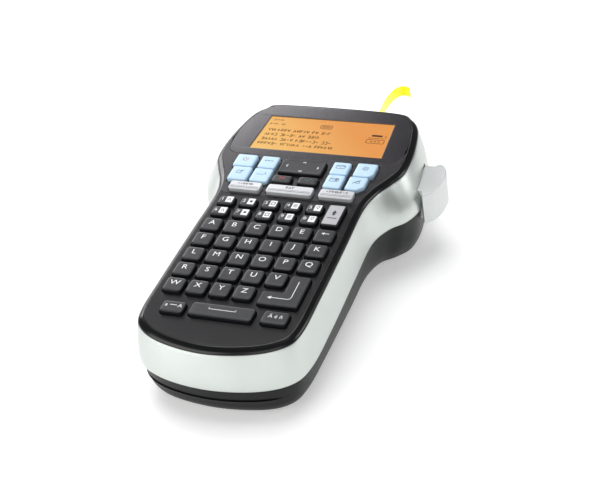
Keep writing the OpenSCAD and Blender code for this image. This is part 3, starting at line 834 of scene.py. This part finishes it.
# Start and word lengths of each line on the display: status lines, then lines of text
STATUS_LINES = [((-32, 95.2), [5]), ((-32.6, 91.2), [4, 2])]
TEXT_LINES = [((-31.7, 85.4), [7, 5, 2, 3]), ((-32.3, 81.2), [4, 5, 2, 4]), ((-32.6, 77), [5, 4, 7, 3]),
              ((-33.1, 72.8), [6, 6, 3, 6])]


def display():
    """Glossy window frame, lit panel and its generic marks."""
    frame_plate = Build()
    frame_plate.plate(lens_line, [round_corners(LCD_WINDOW, 0.3, 2)], -1.6, 0, 0.2)
    finish_piece("window_frame", frame_plate.mesh("window_frame"), "case", [lens_gloss],
                 ["display_window"])
    lit = Build()
    lit.prism(round_corners(inset(LCD_WINDOW, 0.05), 0.3, 2), -1.75, -0.35, soft=0.1)
    rng = random.Random(7)
    z = -0.34
    for start, counts in STATUS_LINES:
        glyphs(lit, rng, start, 1.3, counts, 1.35, 0.3, z)
    for start, counts in TEXT_LINES:
        glyphs(lit, rng, start, 2.1, counts, 1.84, 0.42, z)
    # A small label in the middle, then a tape sign and a battery-like field at the right
    lit.stroke(round_rect((-1, 92.4), (6.4, 3), 0.8, 3), 0.3, z, slot=1, closed=True)
    for x in (-2.6, -1, 0.6):
        lit.stroke(round_rect((x, 92.4), (0.9, 1.4), 0.3, 2), 0.26, z, slot=1, closed=True)
    lit.stroke([(25.4, 88.2), (31.2, 88.2)], 1.5, z, slot=1)
    lit.stroke([(24, 86), (32.6, 86), (33.6, 87.4), (32.4, 88.6)], FINE, z, slot=1)
    lit.stroke(round_rect((28.6, 83), (9.6, 3.2), 0.5, 2), 0.3, z, slot=1, closed=True)
    for x in (26, 28, 30):
        lit.stroke([(x, 83), (x + 1.1, 83)], 0.6, z, slot=1)
    finish_piece("display_face", lit.mesh("display_face"), "case", [lcd_amber, lcd_ink])


# ---------------------------------------------------------------- keys
def cap(build, outline, flange=FLANGE, soft=0.6, crown=0.1):
    """A key: hidden flange, drafted walls, rounded rim and a softly crowned top, whose height it returns."""
    wide = inset(outline, -flange)
    neck = KEY_BASE + FLANGE_T
    rings = [at_height(wide, KEY_BASE), at_height(wide, neck), at_height(outline, neck)]
    draft = 0.12
    steps = 5
    for k in range(steps + 1):
        a = math.pi / 2 * k / steps
        edge = inset(outline, draft + soft * (1 - math.cos(a)))
        rings.append(at_height(edge, KEY_TOP - soft + soft * math.sin(a)))
    if crown:
        middle = sum((Vector(p) for p in outline), Vector((0, 0))) / len(outline)
        rings.append([tuple(middle + (Vector(p[:2]) - middle) * 0.8) + (KEY_TOP + crown,) for p in rings[-1]])
    build.loft(rings)
    return KEY_TOP + crown


def key_piece(name, outline, draw, materials, slot="key_dark", **shape):
    """One key with its marks; draw adds them above the top at the height it is given."""
    build = Build()
    z = cap(build, outline, **shape)
    draw(build, z)
    finish_piece(name + "_cap", build.mesh(name), name, materials, [name])


def letter_keys():
    """The 26 letter keys in five rows."""
    for row, letters in enumerate(LETTER_ROWS):
        for column, letter in enumerate(letters):
            place = letter_place(row, column)
            x, y = place[0]
            key_piece("key_" + letter.lower(), key_rect(place),
                      lambda b, z: b.text(letter, (x, y + 1.1), 4.5, z, 1, stretch=1.1),
                      [key_dark, white_ink])


def digit_sign(build, i, place, z):
    """The dark sign in the white field of digit key number i."""
    x, y = place
    kind = i % 5
    if kind == 0:
        build.stroke([(x - 0.8, y - 1), (x, y + 1), (x + 0.8, y - 1)], 0.4, z, slot=2)
    elif kind == 1:
        build.prism(circle(place, 0.8, 12), z - 0.01, z + 0.03, 2)
    elif kind == 2:
        build.stroke(round_rect(place, (1.8, 2.2), 0.3, 2), BOLD, z, slot=2, closed=True)
    elif kind == 3:
        for rise in (-0.9, 0, 0.9):
            build.stroke([(x - 1, y + rise), (x + 1, y + rise)], BOLD, z, slot=2)
    else:
        build.stroke([(x - 0.9, y + 0.8), (x, y - 0.8), (x + 0.9, y + 0.8)], 0.4, z, slot=2)
        build.stroke([(x - 0.9, y + 1.3), (x + 0.9, y + 1.3)], 0.3, z, slot=2)


def digit_keys():
    """Ten small keys: a digit at the left and a white field with a sign at the right."""
    build = Build()
    for i in range(10):
        place = digit_place(i)
        x, y = place[0]
        z = cap(build, key_rect(place, DIGIT_R), soft=0.8)
        build.text(str((i + 1) % 10), (x - 2.2, y + 0.5), 3.1, z, 1)
        field = (x + 1.5, y + 0.3)
        field_top = z + 0.03
        build.prism(round_rect(field, (3.5, 4.6), 0.2, 2), z - 0.02, field_top, 1)
        digit_sign(build, i, field, field_top)
    finish_piece("digit_caps", build.mesh("digit_caps"), "digit_keys",
                 [key_dark, white_ink, black_ink], ["digit_keys"])


def arrow(build, path, width, head, z, slot=1):
    """A line with an arrow head at its first point."""
    tip = Vector(path[0])
    back = (Vector(path[1]) - tip).normalized()
    side = Vector((-back.y, back.x))
    build.stroke([tuple(tip + back * head * 0.6)] + path[1:], width, z, slot=slot)
    corners = [tip, tip + back * head + side * head * 0.55, tip + back * head - side * head * 0.55]
    turn = (corners[1] - corners[0]).cross(corners[2] - corners[0])
    loop = [tuple(c) for c in (corners if turn > 0 else corners[::-1])]
    build.loft([at_height(loop, z), at_height(loop, z + INK_T)], slot)


def plain_keys():
    """Shift, backspace, enter, caps, space and accent keys."""
    (x, y), (w, h) = SHIFT

    def shift_marks(b, z):
        field_top = z + INK_T
        b.prism(round_rect((x, y), (w - 1.5, h - 1.6), 0.4, 2), z - 0.02, field_top, 1)
        arrow(b, [(x, y + 3.6), (x, y - 0.3)], 1.3, 2.2, field_top, 2)
        b.stroke([(x - 2.4, y - 2.6), (x + 2.4, y - 2.6)], 0.55, field_top, slot=2)

    key_piece("shift_key", key_rect(SHIFT, KEY_R), shift_marks, [key_dark, key_grey, black_ink], "key_grey")

    bx, by = BACKSPACE[0]
    back_line = [(bx - 2, by + 1.2), (bx + 2, by + 1.2)]
    key_piece("backspace_key", key_rect(BACKSPACE, KEY_R), lambda b, z: arrow(b, back_line, BOLD, 1.6, z),
              [key_dark, white_ink])

    (ex0, ex1), (ey0, ey1) = ENTER_X, ENTER_Y
    mid_x, mid_y = ex1 - ENTER_ARM / 2, ey0 + ENTER_ARM / 2 + 0.3
    bend = [(mid_x - 1.6, mid_y), (mid_x - 0.5, mid_y + 0.35), (mid_x, mid_y + 1.6)]
    enter_line = [(ex0 + 3.6, mid_y)] + bend + [(mid_x, ey1 - 4)]
    key_piece("enter_key", enter_outline(), lambda b, z: arrow(b, enter_line, 0.32, 1.9, z),
              [key_dark, white_ink], crown=0)

    cx, cy = CAPS[0]

    def caps_marks(b, z):
        b.text("a", (cx - 3.4, cy + 0.8), 3.3, z, 1)
        b.text("A", (cx + 3.4, cy + 0.8), 3.3, z, 1)
        b.stroke([(cx - 1.7, cy + 0.9), (cx + 1.7, cy + 0.9)], BOLD, z, slot=1)

    key_piece("caps_key", key_rect(CAPS, KEY_R), caps_marks, [key_dark, white_ink])

    sx, sy = SPACE[0]
    tray = [(sx - 6.6, sy + 1.5), (sx - 6.6, sy + 0.4), (sx + 6.6, sy + 0.4), (sx + 6.6, sy + 1.5)]
    key_piece("space_key", key_rect(SPACE, KEY_R), lambda b, z: b.stroke(tray, 0.3, z, slot=1),
              [key_dark, white_ink])

    ax, ay = ACCENT[0]
    key_piece("accent_key", key_rect(ACCENT, KEY_R),
              lambda b, z: b.text("Ä é ñ", (ax, ay + 0.7), 3.2, z, 1), [key_dark, white_ink])


def head_keys():
    """Navigation plate, cancel and OK."""
    centre = Vector(NAVIGATION[0])

    def chevrons(b, z):
        for angle, reach in ((0, 8.6), (90, 4), (180, 8.6), (270, 4)):
            turn = Matrix.Rotation(math.radians(angle), 2)
            corners = [(reach - 0.6, 0.85), (reach, 0), (reach - 0.6, -0.85)]
            b.stroke([tuple(centre + turn @ Vector(p)) for p in corners], 0.45, z, slot=1)

    key_piece("navigation_key", key_rect(NAVIGATION, KEY_R), chevrons, [key_dark, white_ink], crown=-0.12)

    cx, cy = CANCEL[0]

    def cross(b, z):
        for s in (-1, 1):
            b.stroke([(cx - 1.6, cy + 0.5 - s * 0.8), (cx + 1.6, cy + 0.5 + s * 0.8)], BOLD, z, slot=1)

    key_piece("cancel_key", key_rect(CANCEL, 1.2), cross, [key_dark, red_ink])

    kx, ky = OK[0]
    tick = [(kx - 1.7, ky + 0.5), (kx - 0.4, ky - 0.4), (kx + 1.9, ky + 1.3)]
    key_piece("ok_key", key_rect(OK, 1.2), lambda b, z: b.stroke(tick, BOLD, z, slot=1),
              [key_dark, green_ink])


def blue_sign(build, i, place, z):
    """The small sign on blue key number i."""
    x, y = place
    if i == 0:
        turns = [math.radians(40 + 280 * k / 14) for k in range(15)]
        ring = [(x + 1.3 * math.sin(a), y - 0.2 + 1.3 * math.cos(a)) for a in turns]
        build.stroke(ring, 0.3, z, slot=2)
        build.stroke([(x, y - 0.2), (x, y + 1.5)], 0.3, z, slot=2)
    elif i == 1:
        for k in (-1, 0, 1):
            build.stroke([(x - 0.6 + 1.7 * k, y), (x + 0.6 + 1.7 * k, y)], 0.5, z, slot=1)
    elif i == 2:
        page = [(x + 1, y + 1), (x - 1.8, y + 1), (x - 1.8, y - 1.2), (x + 1, y - 1.2), (x + 1, y)]
        build.stroke(page, FINE, z, slot=1)
        build.stroke([(x - 0.2, y - 0.2), (x + 2, y + 1.4)], FINE, z, slot=1)
    elif i == 3:
        wave = [(x - 2.4, y - 0.8), (x + 1.2, y - 0.8), (x + 1.8, y + 1), (x + 2.5, y - 0.8)]
        build.stroke(wave, FINE, z, slot=1)
    elif i in (4, 6):
        build.stroke(round_rect((x, y), (4.6, 2.6), 0.4, 2), FINE, z, slot=1, closed=True)
        build.stroke([(x - 2, y + 1), (x, y - 0.2), (x + 2, y + 1)], 0.24, z, slot=1)
        if i == 6:
            build.prism(circle((x + 1, y + 0.1), 0.7, 10), z - 0.01, z + 0.05, 1)
    elif i == 5:
        for k in range(8):
            a = math.radians(45 * k)
            build.stroke([(x + 1.1 * math.cos(a), y + 1.1 * math.sin(a)),
                          (x + 1.9 * math.cos(a), y + 1.9 * math.sin(a))], 0.26, z, slot=1)
        build.stroke(circle((x, y), 0.8, 12), 0.22, z, slot=1, closed=True)
    else:
        build.stroke([(x - 1.8, y - 1.4), (x + 0.2, y + 0.4), (x + 1.8, y + 1.4)], 0.4, z, slot=1)
        build.stroke(round_rect((x + 0.7, y - 0.5), (1.8, 1.4), 0.3, 2), 0.24, z, slot=1, closed=True)


def function_keys():
    """The eight light blue keys, each with its sign."""
    blue = Build()
    for i, key in enumerate(BLUE):
        z = cap(blue, blue_outline(key), flange=SLIM_FLANGE, soft=0.7, crown=0.12)
        blue_sign(blue, i, (key[0] + key[2] / 2, key[1] + key[3] / 2 + 0.8), z)
    finish_piece("function_caps", blue.mesh("function_caps"), "function_keys",
                 [key_blue, dark_ink, red_ink], ["function_keys"])


def bar_keys():
    """The three silver bars: made-up letters over two ribs with dark lines between them."""
    bars = Build()
    rng = random.Random(11)
    rib_pitch = 1.0
    for (centre, size), letters in zip(BARS, (6, 3, 8)):
        z = cap(bars, key_rect((centre, size), KEY_R), flange=SLIM_FLANGE, soft=0.5, crown=0)
        x, low = centre[0], centre[1] - size[1] / 2
        half = size[0] / 2 - 1
        for k in range(2):
            rib = round_rect((x, low + 1.0 + rib_pitch * k), (size[0] - 1.8, 0.55), 0.25, 3)
            bars.prism(rib, z - 0.05, z + 0.22, 0, soft=0.12)
            line = low + 1.5 + rib_pitch * k
            bars.stroke([(x - half, line), (x + half, line)], 0.36, z, slot=1)
        glyphs(bars, rng, (x - letters * 0.7, centre[1] + 0.3), 1.7, [letters], 1.45, 0.4, z)
    finish_piece("bar_caps", bars.mesh("bar_caps"), "bar_keys", [key_silver, black_ink],
                 ["bar_keys"])


# ---------------------------------------------------------------- lever and label
def lever():
    """The cutter lever: a soft-edged paddle on an arm that turns on a boss."""
    build = Build()
    low, high = LEVER_Z
    paddle = smooth_path(LEVER_EDGE, 5) + LEVER_INNER
    soft = 0.5
    rings = [at_height(inset(paddle, soft * (1 - math.sin(a))), low + soft * (1 - math.cos(a)))
             for a in EDGE_ANGLES]
    rings += [at_height(inset(paddle, soft * (1 - math.cos(a))), high - soft * (1 - math.sin(a)))
              for a in EDGE_ANGLES]
    build.loft(rings)
    arm_z = (low + 2.5, high - 1.5)
    build.box((46, 62, arm_z[0]), (61.5, 79, arm_z[1]), soft=0.5)
    build.box((41, 57, arm_z[0]), (48, 63.2, arm_z[1]), soft=0.5)
    boss = circle(LEVER_PIVOT, 3.4)
    bore = circle(LEVER_PIVOT, LEVER_PIN_R + 0.05)
    build.loft([at_height(boss, low), at_height(boss, high), at_height(bore, high), at_height(bore, low)],
               ring_loop=True)
    finish_piece("lever_paddle", build.mesh("lever_paddle"), "cutter_lever", [lever_grey],
                 ["cutter_lever"])


def label():
    """The label: a thin strip that curls over beyond the slot."""
    path = smooth_path(LABEL, 8)
    build = Build()
    upper = TAPE_Z + TAPE_W
    rings = []
    for i, p in enumerate(path):
        before = Vector(path[max(i - 1, 0)])
        after = Vector(path[min(i + 1, len(path) - 1)])
        along = (after - before).normalized()
        side = Vector((-along.y, along.x)) * TAPE_T / 2
        left, right = Vector(p) + side, Vector(p) - side
        rings.append([(right.x, right.y, TAPE_Z), (right.x, right.y, upper),
                      (left.x, left.y, upper), (left.x, left.y, TAPE_Z)])
    build.loft(rings)
    finish_piece("label_strip", build.mesh("label_strip"), "case", [label_yellow],
                 ["label_tape"])


silver_shell()
lower_case()
case_fittings()
cover()
display()
letter_keys()
digit_keys()
plain_keys()
head_keys()
function_keys()
bar_keys()
lever()
label()

# ---------------------------------------------------------------- studio
# Metres and degrees from here on
CAMERA_AT = (0.2621, -0.5718, 0.4287)
CAMERA_TURN = (57.26, 5.94, 19.98)
CAMERA_LENS = 90.34

camera_data = bpy.data.cameras.new("camera")
camera_data.lens = CAMERA_LENS
camera_data.clip_start = 0.01
camera = bpy.data.objects.new("camera", camera_data)
camera.location = CAMERA_AT
camera.rotation_euler = [math.radians(a) for a in CAMERA_TURN]
links.link(camera)
bpy.context.scene.camera = camera

FLOOR_HALF = 4
FLOOR_Z = -0.2 * MM
floor_corners = [(-FLOOR_HALF, -FLOOR_HALF), (FLOOR_HALF, -FLOOR_HALF), (FLOOR_HALF, FLOOR_HALF),
                 (-FLOOR_HALF, FLOOR_HALF)]
floor_mesh = bpy.data.meshes.new("floor")
floor_mesh.from_pydata(at_height(floor_corners, FLOOR_Z), [], [(0, 1, 2, 3)])
floor = bpy.data.objects.new("floor", floor_mesh)
floor_finish = material("floor_white", (0.8, 0.8, 0.8, 1), 0.5, vary=0.0, grain=(10, 0.0), specular=0.3)
floor_shader = floor_finish.node_tree.nodes["Principled BSDF"]
floor_shader.inputs["Emission Color"].default_value = (1, 1, 1, 1)
floor_shader.inputs["Emission Strength"].default_value = 0.36
floor_mesh.materials.append(floor_finish)
links.link(floor)


def area_light(name, place, aim, size, power, colour):
    """A rectangular lamp at place, turned towards aim."""
    data = bpy.data.lights.new(name, "AREA")
    data.shape = "RECTANGLE"
    data.size, data.size_y = size
    data.energy = power
    data.color = colour
    lamp = bpy.data.objects.new(name, data)
    lamp.location = place
    lamp.rotation_euler = (Vector(aim) - Vector(place)).to_track_quat("-Z", "Y").to_euler()
    links.link(lamp)


# Name, place, aim, size, power in watts and colour
LAMPS = [
    ("front_left", (-0.85, -1.05, 0.5), (0, -0.05, 0.03), (1.5, 0.95), 11.5, (1, 0.985, 0.96)),
    ("front_right", (0.62, -1.15, 0.5), (0, -0.05, 0.03), (1.1, 0.95), 4.2, (1, 0.99, 0.97)),
    ("top_light", (-0.12, 0.4, 1.5), (0, 0, 0), (1.2, 1.2), 17, (1, 1, 1)),
    ("back_panel", (-0.93, 0.98, 0.585), (0, 0.08, 0.05), (1.07, 0.72), 10.5, (0.99, 0.97, 1)),
    ("side_light", (1.3, 0.7, 0.6), (0, 0, 0.03), (0.7, 0.6), 4, (1, 1, 1)),
]
for lamp in LAMPS:
    area_light(*lamp)

world = bpy.data.worlds.new("studio")
bpy.context.scene.world = world
world.use_nodes = True
background = world.node_tree.nodes["Background"]
background.inputs["Color"].default_value = (0.95, 0.96, 1.0, 1)
background.inputs["Strength"].default_value = 0.17
bpy.context.scene.view_settings.view_transform = "Standard"
